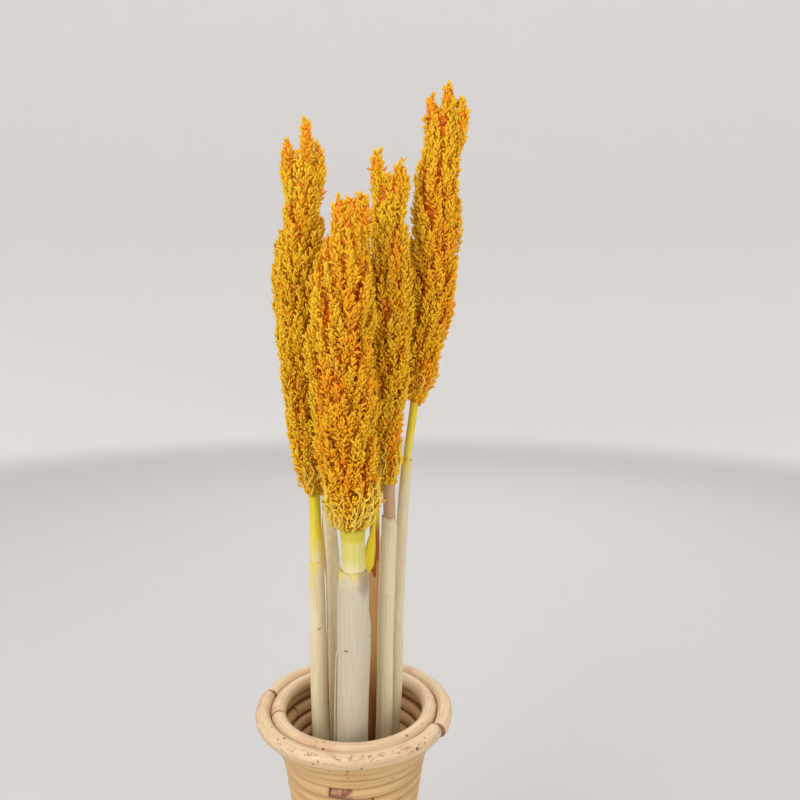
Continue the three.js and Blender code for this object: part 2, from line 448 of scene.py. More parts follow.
def branch_paint():
    """The rachis and its branches, straw under the yellow dye; their inner parts and the packed grain are
    painted deep orange as painted shade.
    """
    paint = Paint("dyed_branch")
    place = paint.place()
    patch = paint.noise(place, 90.0, 3.0)
    mottle = paint.noise(place, 420.0, 2.0).ramp(0.38, 0.6)
    # Painted shade: the deeper a part lies inside the head, the more it takes this deep mottled orange.
    painted_shade_orange = paint.mix(tint(196, 84, 0), tint(250, 140, 6), mottle)
    straw = paint.mix(tint(240, 204, 66), tint(246, 224, 112), patch.ramp(0.35, 0.7))
    colour = paint.mix(straw, painted_shade_orange, paint.value("inside").ramp(0.2, 0.9))
    return paint.finished(colour, patch * 0.2 + 0.55, paint.noise(place, 1500.0, 2.0), 0.05 * MM)


def lengthwise(paint, fine, coarse):
    """Noise stretched along Z, as fibres in a stem are."""
    return paint.stretched(fine, fine, coarse)


def stalk_paint():
    """A straw stalk, dyed yellow under the head, with fine lengthwise ribs, and browned as painted shade
    where its brown value is set.
    """
    paint = Paint("straw_stalk")
    ribs = lengthwise(paint, 1400.0, 14.0)
    blotch = lengthwise(paint, 130.0, 22.0)
    dye = (paint.value("dye") + (blotch - 0.5) * 0.7).ramp(0.0, 0.55)
    collar = (paint.value("dye") + (blotch - 0.5) * 0.1).ramp(0.76, 0.84)
    straw = paint.mix(tint(216, 204, 164), tint(230, 220, 184), ribs.ramp(0.3, 0.7))
    # Painted shade: where the brown value is set, the stalk turns brown, darker towards the rim.
    low = paint.parts(paint.place())[2].ramp(RIM_HEIGHT + 60 * MM, RIM_HEIGHT + 35 * MM)
    brown = paint.mix(tint(160, 84, 22), tint(202, 156, 88), low)
    shaded = paint.mix(straw, tint(176, 120, 58), blotch.ramp(0.62, 0.8) * 0.4)
    bare = paint.mix(shaded, brown, paint.value("brown"))
    bright = paint.mix(tint(222, 196, 20), tint(234, 214, 44), ribs.ramp(0.3, 0.7))
    olive = paint.mix(tint(200, 188, 100), tint(212, 202, 124), ribs.ramp(0.3, 0.7))
    banded = paint.mix(olive, tint(196, 184, 58), collar)
    yellow = paint.mix(bright, banded, paint.value("pale"))
    return paint.finished(paint.mix(bare, yellow, dye), ribs * 0.25 + 0.38, ribs, 0.12 * MM)


def sheath_paint():
    """A dry leaf: pale straw with parallel veins, dye that ran down it, brown nicks and stains, and brown
    painted shade, darker towards the rim, where its brown value is set.
    """
    paint = Paint("dry_leaf_sheath")
    place = paint.place()
    veins = lengthwise(paint, 1150.0, 7.0)
    bands = lengthwise(paint, 260.0, 5.0)
    blotch = paint.noise(place, 60.0, 3.0)
    dye = (paint.value("dye") + (bands - 0.5) * 0.9).ramp(0.05, 0.5)
    stain = (paint.value("stain") * 0.9 + (blotch - 0.5) * 0.9).ramp(0.3, 0.75)
    straw = paint.mix(tint(218, 198, 150), tint(234, 220, 180), veins.ramp(0.25, 0.7))
    cream = paint.mix(tint(184, 173, 145), tint(198, 189, 165), veins.ramp(0.2, 0.65))
    leaf = paint.mix(straw, cream, paint.value("pale"))
    banded = paint.mix(leaf, tint(206, 178, 124), bands.ramp(0.56, 0.76) * 0.6)
    # Painted shade: where the brown value is set, the leaf turns brown, darker towards the rim.
    z = paint.parts(place)[2]
    higher = z.ramp(RIM_HEIGHT - 8 * MM, RIM_HEIGHT + 45 * MM) + (veins - 0.5) * 0.5
    painted_shade_brown = paint.mix(tint(136, 80, 34), tint(190, 142, 88), higher)
    plain = paint.mix(banded, painted_shade_brown, paint.value("brown"))
    cracks = lengthwise(paint, 520.0, 4.0).ramp(0.695, 0.73)
    dyed = paint.mix(paint.mix(plain, tint(150, 124, 88), cracks * 0.7), tint(228, 204, 36), dye)
    stained = paint.mix(dyed, tint(150, 128, 104), stain * 0.75)
    nicks = paint.stretched(150.0, 150.0, 420.0, 1.0, 0.4).ramp(0.77, 0.80)
    nicked = paint.mix(stained, tint(120, 84, 44), nicks * 0.8)
    colour = paint.mix(nicked, tint(190, 164, 112), paint.value("edge") * 0.25)
    return paint.finished(colour, veins * 0.3 + 0.36, veins * 0.7 + bands * 0.6, 0.16 * MM)


def cane_streaks(paint, place, fine, coarse):
    """Noise stretched round the vase, as fibres in a bent cane are."""
    x, y, z = paint.parts(place)
    away = (x * x + y * y) ** 0.5
    turned = paint.join(away * fine, z * fine, x * (coarse / 0.05))
    values = {"Vector": turned, "W": y * (coarse / 0.05), "Scale": 1.0, "Detail": 3.0, "Roughness": 0.6}
    return paint.node("ShaderNodeTexNoise", {"noise_dimensions": "4D"}, values)


def cane_paint(name, light, dark, scuffed, marks=()):
    """Peeled cane: fibres along it, darker growth nodes and cut ends, specks, a row of scuffs, and painted
    shade in the grooves between rings.
    Each mark is its place, its size and its colour."""
    paint = Paint(name, 0.4)
    place = paint.place()
    fibres = cane_streaks(paint, place, 1500.0, 0.9)
    bands = cane_streaks(paint, place, 330.0, 0.7)
    blotch = paint.noise(place, 45.0, 3.0)
    specks = paint.noise(place, 250.0, 2.0, 0.5)
    node_mark = paint.value("from_node").size().ramp(1.3 * MM, 0.3 * MM)
    node_glow = paint.value("from_node").size().ramp(9 * MM, 1 * MM)
    end_mark = paint.value("from_end").ramp(0.9 * MM, 0.1 * MM)
    body = paint.mix(dark, light, (fibres * 0.6 + bands * 0.5).ramp(0.32, 0.68))
    rosy = paint.mix(body, tint(196, 142, 106), blotch.ramp(0.5, 0.75) * 0.6)
    ringed = paint.mix(rosy, tint(158, 116, 74), node_mark * 0.6 + node_glow * 0.18)
    dashes = cane_streaks(paint, place, 520.0, 11.0)
    scuff = paint.value("scuff") * (dashes + (blotch - 0.5) * 0.3).ramp(0.53, 0.60)
    rubbed = paint.mix(ringed, tint(214, 186, 160), paint.value("scuff") * blotch.ramp(0.35, 0.6) * 0.5)
    worn = paint.mix(rubbed, scuffed, scuff * 0.8)
    spotted = paint.mix(worn, tint(112, 98, 58), specks.ramp(0.675, 0.72) * 0.65)
    stain = paint.value("stain")
    mottled = (stain + (specks - 0.5) * 2.6 * stain).ramp(0.15, 0.95)
    rusty = paint.mix(tint(172, 116, 92), tint(122, 62, 50), specks.ramp(0.40, 0.62))
    stained = paint.mix(spotted, rusty, mottled * 0.85)
    # Painted shade in the grooves between rings, from the seam value.
    groove_shaded = paint.mix(stained, tint(112, 62, 28), paint.value("seam") * 0.8)
    for centre, size, colour in marks:
        away = paint.node("ShaderNodeVectorMath", {"operation": "DISTANCE"}, {0: place, 1: centre}, "Value")
        near = (away + (specks - 0.5) * (1.8 * size)).ramp(size, 0.6 * size)
        groove_shaded = paint.mix(groove_shaded, colour, near * 0.85)
    return paint.finished(paint.mix(groove_shaded, tint(112, 66, 34), end_mark * 0.8),
                          fibres * 0.25 + scuff * 0.2 + 0.34,
                          fibres * 0.5 + specks * 0.4 + scuff * 0.6, 0.14 * MM)


def board_paint():
    """Plain turned board with straight grain across it."""
    paint = Paint("base_board")
    grain = paint.stretched(14.0, 260.0, 260.0, 4.0)
    pores = paint.stretched(90.0, 1800.0, 1800.0, 2.0, 0.55)
    body = paint.mix(tint(158, 118, 72), tint(196, 156, 104), grain.ramp(0.3, 0.7))
    colour = paint.mix(body, tint(112, 78, 44), pores.ramp(0.62, 0.8) * 0.6)
    return paint.finished(colour, pores * 0.2 + 0.5, pores * 0.6 + grain * 0.4, 0.2 * MM)


# ---- seed heads

def grain_template():
    """A pointed seed of unit length along Z: its points, its faces and its unrolled corners."""
    levels = np.array([0.16, 0.45, 0.76])
    swell = np.array([0.66, 1.0, 0.62])
    turn = np.linspace(0, TURN, GRAIN_SIDES, endpoint=False)
    rings = [np.stack([r * np.cos(turn), r * np.sin(turn), np.full(GRAIN_SIDES, z)], -1)
             for z, r in zip(levels, swell)]
    points = np.concatenate([*rings, [[0, 0, 0], [0, 0, 1]]])
    foot, tip = len(points) - 2, len(points) - 1
    faces, corners = [], []
    for spoke in range(GRAIN_SIDES):
        after = (spoke + 1) % GRAIN_SIDES
        left, right = spoke / GRAIN_SIDES, (spoke + 1) / GRAIN_SIDES
        faces.append((foot, after, spoke))
        corners.append(((left + right) / 2, 0, right, levels[0], left, levels[0]))
        for ring in range(len(levels) - 1):
            a, b = ring * GRAIN_SIDES + spoke, ring * GRAIN_SIDES + after
            c, d = b + GRAIN_SIDES, a + GRAIN_SIDES
            low, high = levels[ring], levels[ring + 1]
            faces += [(a, b, c), (a, c, d)]
            corners += [(left, low, right, low, right, high), (left, low, right, high, left, high)]
        last = (len(levels) - 1) * GRAIN_SIDES
        faces.append((last + spoke, last + after, tip))
        corners.append((left, levels[-1], right, levels[-1], (left + right) / 2, 1))
    return points, np.array(faces), np.array(corners).reshape(-1, 3, 2)


def add_grains(build, feet, directions, lengths, girths, rolls, tones, outness):
    """Copies the seed to each place. Every seed has a cell of its own in the map."""
    shape, faces, corners = grain_template()
    count = len(feet)
    helper = np.where(np.abs(directions[:, 2:3]) > 0.9, [[1.0, 0.0, 0.0]], [[0.0, 0.0, 1.0]])
    first = unit(np.cross(helper, directions))
    second = np.cross(directions, first)
    one = np.cos(rolls)[:, None] * first + np.sin(rolls)[:, None] * second
    two = np.cross(directions, one)
    points = (feet[:, None]
              + shape[None, :, 0:1] * (girths[:, None] * one)[:, None]
              + shape[None, :, 1:2] * (girths[:, None] * two)[:, None]
              + shape[None, :, 2:3] * (lengths[:, None] * directions)[:, None])
    all_faces = (faces[None] + (np.arange(count) * len(shape))[:, None, None]).reshape(-1, 3)
    cells = math.ceil(math.sqrt(count))
    corner_of = np.stack([np.arange(count) % cells, np.arange(count) // cells], -1)
    maps = (corner_of[:, None, None] + 0.08 + 0.84 * corners[None]) / cells
    build.add(points, [all_faces], maps.reshape(-1, 2),
              tone=np.repeat(tones, len(shape)), outness=np.repeat(outness, len(shape)),
              tip=np.tile(shape[:, 2], count))


def tuft_places(spire, area, rng):
    """Heights and bearings of tufts, spread evenly over a spire's skin."""
    heights = np.linspace(spire.low, spire.high, 240)
    skin = np.cumsum(TURN * np.maximum(spire.radius(heights), 2 * MM)) * (heights[1] - heights[0])
    count = max(3, round(skin[-1] / area))
    picks = (np.arange(count) + 0.5) / count * skin[-1]
    jitter = rng.normal(0, 1.1 * MM, count)
    bearings = np.arange(count) * GOLDEN_ANGLE + rng.normal(0, 0.16, count)
    return np.clip(np.interp(picks, skin, heights) + jitter, spire.low, spire.high), bearings


def tuft_paths(spire, heights, bearings, splay, rng):
    """A short curved branch for each tuft: out from the rachis, then up along the skin."""
    count = len(heights)
    share = (heights - spire.low) / (spire.high - spire.low)
    out, sides = outward(bearings)
    lump = (0.07 * np.sin(3 * bearings + heights / (9 * MM))
            + 0.05 * np.sin(5 * bearings - heights / (6 * MM)))
    drawn_in = 1 - 0.22 * np.exp(-((heights - spire.low) / (16 * MM)) ** 2)
    reach = spire.radius(heights) * drawn_in * (0.95 + lump + rng.normal(0, 0.045, count)) - 0.6 * MM
    rise = np.minimum(TUFT_RISE * rng.uniform(0.75, 1.1, count), heights - spire.low + 6 * MM)
    loose = 34 * smooth_step(9 * MM, 0.0, spire.high - heights)
    tilt = np.radians(splay * (1.25 - 0.95 * share) + loose + rng.normal(0, 7, count))
    facing = out * np.sin(tilt)[:, None] + UP * np.cos(tilt)[:, None]
    tip = spire.middle(heights) + out * np.maximum(reach, 0.4 * MM)[:, None]
    root = spire.middle(heights - rise) + out * (0.25 * np.maximum(reach, 0))[:, None]
    bend = tip - facing * (0.55 * rise)[:, None]
    along = np.linspace(0, 1, TUFT_STEPS)[None, :, None]
    paths = ((1 - along) ** 2 * root[:, None] + 2 * along * (1 - along) * bend[:, None]
             + along ** 2 * tip[:, None])
    return paths, out, sides


def curly_strands(build, grains, spire, plant, rng):
    """Thin wavy branches that stand loose round the foot of a head, with a few small seeds."""
    count = plant["strands"]
    along = np.linspace(0, 1, STRAND_STEPS)[None]
    bearings = np.arange(count) * GOLDEN_ANGLE + rng.normal(0, 0.2, count)
    out, sides = outward(bearings)
    start = spire.low + rng.uniform(-1, 9, count) * MM
    rise = rng.uniform(10, 27, count)[:, None] * MM
    neck = spire.radius(spire.low)
    reach = (spire.radius(start + 26 * MM) - 0.7 * neck)[:, None] * rng.uniform(0.75, 1.08, (count, 1))
    wave = rng.uniform(0.8, 2.1, (count, 1)) * MM
    beat = rng.uniform(1.4, 2.8, (count, 1)) * TURN
    phase = rng.uniform(0, TURN, (count, 1))
    away = (0.72 * neck + reach * np.sin(along * math.pi * 0.5) ** 0.8
            + wave * 0.6 * np.cos(beat * along + phase))
    lift = rise * along ** 1.3 + wave * 0.7 * np.sin(beat * 0.8 * along + phase)
    sway = wave * np.sin(beat * along + phase) * along ** 0.5
    heights = start[:, None] + lift
    paths = (spire.middle(start)[:, None] * [1, 1, 0] + out[:, None] * away[..., None]
             + sides[:, None] * sway[..., None] + UP * heights[..., None])
    radii = rng.uniform(0.55, 0.8, (count, 1)) * MM * (1 - 0.35 * along)
    ribbon = np.array([1.7, 0.8, 0.8, 1.7, 0.8, 0.8])
    tubes(build, paths, radii[..., None] * ribbon, sides, len(ribbon), inside=0.0)
    picks = np.array([9, 12, 14, 15])
    feet = paths[:, picks].reshape(-1, 3)
    heading = unit(paths[:, picks] - paths[:, picks - 2])
    heading = unit(heading + rng.normal(0, 0.5, heading.shape)).reshape(-1, 3)
    lengths = rng.uniform(2.4, 3.8, len(feet)) * MM
    grains.append(dict(feet=feet, directions=heading, lengths=lengths, girths=lengths * 0.26,
                       rolls=rng.uniform(0, TURN, len(feet)), tones=rng.uniform(0.5, 1.0, len(feet)),
                       outness=np.full(len(feet), 0.9)))


def grain_pieces(name, batches, look):
    """Shares a head's seeds out over as few pieces as the size of a piece allows, from the foot up."""
    names = ("feet", "directions", "lengths", "girths", "rolls", "tones", "outness")
    columns = [np.concatenate([batch[column] for batch in batches]) for column in names]
    order = np.argsort(columns[0][:, 2])
    shares = np.array_split(order, math.ceil(len(order) / PIECE_GRAINS))
    for number, share in enumerate(shares, 1):
        build = Build()
        add_grains(build, *[column[share] for column in columns])
        build.piece(f"grains_{name}_{number}", look, "seed_head", [f"seed_head_{name}"])


def rachis(build, spire, foot_radius):
    """The stem that runs up inside a spire, thinning to its tip."""
    heights = np.linspace(spire.low, spire.high - 2 * MM, RACHIS_STEPS)
    share = (heights - spire.low) / (spire.high - spire.low)
    radii = (foot_radius * (1 - share) ** 0.8 + 0.35 * MM)[None]
    # Its inside value paints it dark orange, as painted shade.
    tubes(build, spire.middle(heights)[None], radii, ACROSS, RACHIS_SIDES, inside=0.7)


def buried_grain(build, spire, rng):
    """The lumpy packed grain round a rachis, which shows only between the tufts, painted its darkest orange
    as painted shade.
    """
    low, high = spire.low + 5 * MM, spire.high - 4 * MM
    heights = np.linspace(low, high, max(8, round((high - low) / (1.8 * MM))))
    ends = smooth_step(0.0, 10 * MM, heights - spire.low) * smooth_step(0.0, 12 * MM, spire.high - heights)
    lumps = 1 + 0.2 * rng.normal(size=(len(heights), PACKED_SIDES))
    radii = PACKED_SHARE * (spire.radius(heights) * ends ** 0.5)[:, None] * lumps
    tubes(build, spire.middle(heights)[None], radii[None], ACROSS, PACKED_SIDES, inside=1.0)


def make_seed_head(name, plant, grain_look, branch_look):
    rng = np.random.default_rng(plant["seed"])
    outline = Outline(f"seed_head_{name}")
    branches = Build()
    batches = []
    for number, spire in enumerate(body_and_fingers(outline, plant["stub"])):
        is_body = number == 0
        heights, bearings = tuft_places(spire, TUFT_AREA, rng)
        splay = plant["splay"] * (1.0 if is_body else 1.7)
        paths, out, sides = tuft_paths(spire, heights, bearings, splay, rng)
        share = (heights - outline.low.z) / (outline.high.z - outline.low.z)
        batches.append(tuft_batch(paths, out, sides, plant, rng, share))
        radii = np.broadcast_to(np.linspace(0.55, 0.3, TUFT_STEPS) * MM, paths.shape[:2])
        # Painted shade: each tuft branch darkens towards its root, deep in the head.
        painted_shade_share = np.linspace(1.0, 0.3, TUFT_STEPS)[None]
        tubes(branches, paths, radii, sides, BRANCH_SIDES, inside=painted_shade_share)
        buried_grain(branches, spire, rng)
        widest = spire.radius(spire.low + 0.4 * (spire.high - spire.low))
        rachis(branches, spire, 0.22 * widest if is_body else 0.9 * MM)
        if is_body:
            curly_strands(branches, batches, spire, plant, rng)
    grain_pieces(name, batches, grain_look)
    branches.piece(f"branches_{name}", branch_look, "seed_head")


def tuft_batch(paths, out, sides, plant, rng, share):
    """The seeds of every tuft on one spire: they spiral up its outer part, and the last points along it."""
    count, steps = paths.shape[:2]
    rank = (np.arange(TUFT_GRAINS) + 0.5) / TUFT_GRAINS
    spot = np.clip((0.42 + 0.58 * rank ** 0.85) * (steps - 1), 0, steps - 1.001)
    below = spot.astype(int)
    part = (spot - below)[None, :, None]
    centre = paths[:, below] * (1 - part) + paths[:, below + 1] * part
    along = unit(paths[:, below + 1] - paths[:, below])
    turn = (np.arange(TUFT_GRAINS) * GOLDEN_ANGLE)[None] + rng.uniform(0, TURN, (count, 1))
    turn = turn + rng.normal(0, 0.25, turn.shape)
    across, beside = square_to(along, sides)
    spin = np.cos(turn)[..., None] * across + np.sin(turn)[..., None] * beside
    taper = np.sin(math.pi * np.clip(0.28 + 0.72 * rank, 0, 1)) ** 0.6
    offset = TUFT_RADIUS * taper[None] * rng.uniform(0.55, 1.0, (count, TUFT_GRAINS))
    lean = np.radians(52 * (1 - 0.6 * rank))[None] * rng.uniform(0.6, 1.25, (count, TUFT_GRAINS))
    directions = unit(along * np.cos(lean)[..., None] + spin * np.sin(lean)[..., None]
                      + rng.normal(0, 0.22, centre.shape))
    feet = centre + spin * offset[..., None] - directions * (0.35 * plant["grain"])
    lengths = plant["grain"] * rng.uniform(0.78, 1.16, (count, TUFT_GRAINS))
    girths = lengths * GRAIN_GIRTH * rng.uniform(0.85, 1.15, (count, TUFT_GRAINS))
    # Painted light: tufts on the side that faces the window, at -X, get a yellower tone, and those at +X a
    # little too.
    painted_window_light = 0.10 * np.abs(out[:, :1]) - 0.08 * out[:, :1]
    tuft_tone = rng.normal(plant["tone"], 0.13, (count, 1)) + 0.10 * share[:, None] + painted_window_light
    tones = tuft_tone + rng.normal(0, 0.12, (count, TUFT_GRAINS))
    # Outness is low for grains deep in a tuft or turned inward, which the grain paint tints redder as
    # painted shade.
    outness = 0.25 + 0.55 * rank[None] + 0.28 * (spin * out[:, None]).sum(-1)
    return dict(feet=feet.reshape(-1, 3), directions=directions.reshape(-1, 3), lengths=lengths.ravel(),
                girths=girths.ravel(), rolls=rng.uniform(0, TURN, count * TUFT_GRAINS),
                tones=tones.ravel(), outness=outness.ravel())


# ---- stalks and leaf sheaths

def make_stalk(name, plant, look):
    """A straw stalk with a slight swelling where the head starts."""
    rng = np.random.default_rng(plant["seed"] + 1)
    outline = Outline(f"stalk_{name}")
    head_foot = outline.high.z
    heights, middles, radii = outline.line(outline.low.z + 0.2 * MM, head_foot - 0.2 * MM, STALK_STEPS)
    middles = np.concatenate([middles[:, :2], heights[:, None]], 1)
    turn = np.linspace(0, TURN, STALK_SIDES, endpoint=False)
    ribs = 1 + 0.012 * np.sin(11 * turn + rng.uniform(0, 6)) + 0.008 * np.sin(17 * turn)
    collar = 1 + 0.07 * np.exp(-((head_foot - heights) / (3.5 * MM)) ** 2)
    above_leaf = np.maximum(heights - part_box(f"leaf_sheath_{name}")[1].z, 0)
    full = plant["swelling"] * np.exp(-(above_leaf / (16 * MM)) ** 2)
    skin = (radii * collar + full)[None, :, None] * ribs[None, None]
    dye = 1 - (head_foot - heights) / plant["dye"]
    build = Build()
    tubes(build, middles[None], skin, ACROSS, STALK_SIDES, dye=dye[None], brown=plant["painted_stalk_shade"],
          pale=plant["faded"])
    build.piece(f"straw_stalk_{name}", look, "stalk", [f"stalk_{name}"])


def wound_leaf(name, plant, rng):
    """The strip of a dry leaf: how far along it each column is wound, then the bearing, height and radius
    of each point on its outer side, its thickness, each column's top, and the middle it is wound round."""
    outline, stalk = Outline(f"leaf_sheath_{name}"), Outline(f"stalk_{name}")
    low, high = outline.low.z + 0.2 * MM, outline.high.z
    _, outer = outline.cut((low + high) / 2)
    _, core = stalk.cut((low + high) / 2)
    heights, middles, _ = outline.line(low, high - 0.3 * MM, 90)
    thick = min(LEAF_THICKNESS, (outer - core) * 0.3)
    columns = round(LEAF_COLUMNS_PER_TURN * plant["turns"])
    wound = np.linspace(0, 1, columns)
    bearing = math.radians(plant["seam"]) - wound * TURN * plant["turns"]
    inward = (outer - core - 0.35 * MM - thick) * wound ** 1.35
    top = high - plant["drop"] * (1 - smooth_step(0.3, 0.85, wound * plant["turns"]))
    jag = np.abs(np.sin(bearing * 3.1 + rng.uniform(0, 6))) * 0.5 + rng.uniform(0, 1, columns) * 0.5
    top = top - plant["tear"] * jag * (1 - 0.5 * wound)
    z = low + (top - low)[None] * np.linspace(0, 1, LEAF_ROWS)[:, None]
    wander = 0.10 * np.sin((z - low) / 0.055 + plant["seed"]) * (1 - wound)[None]
    angle = bearing[None] + wander
    ribs = (0.10 * np.sin(angle * 23) + 0.07 * np.sin(angle * 37 + z * 60)) * MM
    flare = 0.15 * MM * smooth_step(12 * MM, 0.0, top[None] - z) * rng.uniform(-0.3, 1.0, columns)[None]
    slack = 0.92 * (outer - core - thick - 0.3 * MM)
    tight = smooth_step(plant["hug"] + MM, 0.0, top[None] - z) * slack * (1 - wound)[None]
    radius = outer - inward[None] + ribs * 0.6 + flare - tight - 0.1 * MM
    centre = np.stack([np.interp(z, heights, middles[:, 0]), np.interp(z, heights, middles[:, 1])], -1)
    return wound, angle, z, radius, thick, top, centre


def make_leaf_sheath(name, plant, look):
    """A dry leaf rolled round the stalk: a thin strip wound more than once, torn along its top."""
    rng = np.random.default_rng(plant["seed"] + 2)
    wound, angle, z, radius, thick, top, centre = wound_leaf(name, plant, rng)
    ray = np.stack([np.cos(angle), np.sin(angle)], -1)
    outside = np.concatenate([centre + ray * radius[..., None], z[..., None]], -1)
    inside = np.concatenate([centre + ray * (radius - thick)[..., None], z[..., None]], -1)
    loop = np.concatenate([outside[:, ::-1], inside], 1)
    rows, around = loop.shape[:2]
    column = np.arange(len(wound) - 1)
    far, far_next = around - 1 - column, around - 2 - column
    foot = np.stack([column, far, far_next, column + 1], -1)
    rim = np.stack([column, column + 1, far_next, far], -1) + (rows - 1) * around

    wound, angle, z, top = (np.concatenate([one[..., ::-1], one], -1) for one in (wound, angle, z, top))
    from_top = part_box(f"leaf_sheath_{name}")[1].z - z
    from_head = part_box(f"stalk_{name}")[1].z - z
    dye = 1 - from_head / plant["dye"]
    if plant["drip"]:
        run = np.exp(-((np.cos(angle - math.radians(-158)) - 1) / 0.05) ** 2)
        dye = np.maximum(dye, run * smooth_step(24 * MM, 14 * MM, from_top))
    right_side = np.cos(angle - math.radians(-35)) ** 3
    stain = plant["stained"] * right_side * np.exp(-(from_top / (22 * MM)) ** 2)
    edge = np.maximum(smooth_step(0.02, 0.0, wound)[None], smooth_step(1.6 * MM, 0.0, top[None] - z))
    build = Build()
    build.add(loop, [wrapped(rows, around), foot, rim], dye=dye.ravel(), stain=np.clip(stain, 0, 1).ravel(),
              edge=edge.ravel(), pale=plant["pale"], brown=plant["brown"])
    build.piece(f"dry_leaf_{name}", look, "leaf_sheath", [f"leaf_sheath_{name}"])


def flat_leaf(name, path, half, thin, sides, side, look, **values):
    """A narrow leaf along a path. Half is half its width at each step, and thin half its thickness at each
    bearing round it; sides are the shares of the two that each bearing takes."""
    wide, deep = sides
    skin = 1 / np.sqrt((wide[None] / half[:, None]) ** 2 + (deep[None] / thin[None]) ** 2)
    build = Build()
    tubes(build, path[None], skin[None], side, len(thin), stain=0.0, edge=0.0, **values)
    build.piece(name, look, "leaf_sheath")


def make_flag_leaf(look):
    """A narrow dyed leaf that curls down from the centre-right head's foot, past the front stalk."""
    front, centre_right = Outline("stalk_front"), Outline("stalk_centre_right")
    head_foot, _ = centre_right.cut(centre_right.high.z - 2 * MM)
    neck, _ = front.cut(front.high.z - 2 * MM)
    bends = np.array([
        head_foot + np.array([-4.6, -6.0, 14.0]) * MM,
        neck + np.array([14.0, 19.0, 1.0]) * MM,
        neck + np.array([11.4, 18.0, -15.0]) * MM,
        neck + np.array([9.6, 17.0, -29.0]) * MM,
        neck + np.array([9.0, 16.5, -35.0]) * MM,
    ])
    along = np.linspace(0, 1, 40)
    share = np.linspace(0, 1, len(bends))
    path = np.stack([np.interp(along, share, bends[:, axis]) for axis in range(3)], -1)
    half = 3.3 * MM * smooth_step(0.2, 0.62, along) * smooth_step(1.05, 0.75, along) + 0.5 * MM
    turn = np.linspace(0, TURN, 28, endpoint=False)
    thin = 0.42 * MM + 0.05 * MM * np.sin(9 * turn)
    flat_leaf("flag_leaf_centre_right", smoothed(path, 12), half, thin, (np.cos(turn), np.sin(turn)),
              np.array([[0.0, 1.0, 0.0]]), look, dye=1.0, pale=0.3, brown=0.0)


def make_shade_strip(look):
    """A narrow brown strip shaped as a leaf blade, shown between the left and the far-left stems as painted
    shade for the shadowed gap there.
    """
    sheath, stalk, beside = (Outline(node) for node in ("leaf_sheath_left", "stalk_left", "stalk_far_left"))
    heights = np.linspace(RIM_HEIGHT - 25 * MM, stalk.high.z + 6 * MM, 48)
    path = []
    for height in heights:
        stem = sheath if height < sheath.high.z - 12 * MM else stalk
        middle, radius = stem.cut(min(height, stalk.high.z - MM))
        behind = beside.cut(min(height, beside.high.z - MM))[0]
        path.append([middle[0] + radius - 0.6 * MM, behind[1] + 7 * MM, height])
    half = 1.7 * MM * smooth_step(1.0, 0.75, np.linspace(0, 1, len(heights))) + 0.7 * MM
    turn = np.linspace(0, TURN, 24, endpoint=False)
    thin = 0.45 * MM + 0.05 * MM * np.sin(7 * turn)
    flat_leaf("shade_strip_left", smoothed(np.array(path), 10), half, thin, (np.sin(turn), np.cos(turn)),
              ACROSS, look, dye=0.0, pale=0.0, brown=1.0)


# ---- vase

def bent_cane(build, ring, rng, start, sweep, shift=(0.0, 0.0), scuffed=0.0, stain_at=None, growth_at=None,
              groove_shade=0.0):
    """One bent cane with rounded cut ends. Ring is its height, its radius and the cane's own radius. Shift
    moves its two ends outward, stain_at is the bearing where a stain starts, growth_at how far along it the
    growth node stands, and the last argument how much painted shade darkens the grooves over and under it."""
    height, radius, thickness = ring
    steps = max(24, round(sweep * radius / CANE_STEP))
    share = np.linspace(0, 1, steps)
    angle = start + sweep * share
    length = sweep * radius * share
    ends = np.minimum(length, length[-1] - length)
    outward = shift[0] * smooth_step(0.09, 0.0, share) + shift[1] * smooth_step(0.91, 1.0, share)
    waves = [(count, rng.uniform(0, TURN), rng.uniform(0, TURN)) for count in (2, 3, 5)]
    sway = sum(np.sin(count * angle + a) for count, a, _ in waves) * 0.05 * MM
    bob = sum(np.sin(count * angle + b) for count, _, b in waves) * 0.04 * MM
    growth = length - length[-1] * (rng.uniform(0.2, 0.8) if growth_at is None else growth_at)
    away = radius + sway + outward
    path = np.stack([away * np.cos(angle), away * np.sin(angle), height + bob], -1)
    turn = np.linspace(0, TURN, CANE_SIDES, endpoint=False)
    swell = (1 + 0.045 * np.exp(-(growth / (2.2 * MM)) ** 2)
             - 0.02 * np.exp(-((growth - 4 * MM) / (2.5 * MM)) ** 2))
    rounded = 1 - 0.09 * smooth_step(1.3 * MM, 0.0, ends)
    flutes = 1 + 0.006 * np.sin(7 * turn + rng.uniform(0, 6)) + 0.008 * np.sin(3 * turn + rng.uniform(0, 6))
    drift = 1 + 0.012 * np.sin(3 * angle + rng.uniform(0, 6))
    skin = thickness * (swell * rounded * drift)[:, None] * flutes[None]
    front = np.maximum(np.cos(angle + math.pi / 2), 0) ** 0.6
    stain = np.zeros(steps)
    if stain_at is not None:
        after = (angle - stain_at) * radius
        # A fainter darkening runs on up to 40 mm past the main stain.
        stain = smooth_step(-1 * MM, 1 * MM, after) * (smooth_step(16 * MM, 9 * MM, after)
                                                       + 0.45 * smooth_step(40 * MM, 8 * MM, after))
    # Painted shade: the top and bottom of the cane darken where it meets the rings over and under it.
    seam = groove_shade * smooth_step(0.86, 1.0, np.abs(np.sin(turn)))
    band = np.exp(-((turn - math.radians(143)) / 0.5) ** 2)
    tubes(build, path[None], skin[None], UP[None], CANE_SIDES, from_node=growth[None], from_end=ends[None],
          scuff=(scuffed * front[:, None] * band)[None], stain=np.clip(stain, 0, 1)[None],
          seam=np.broadcast_to(seam, skin.shape)[None])


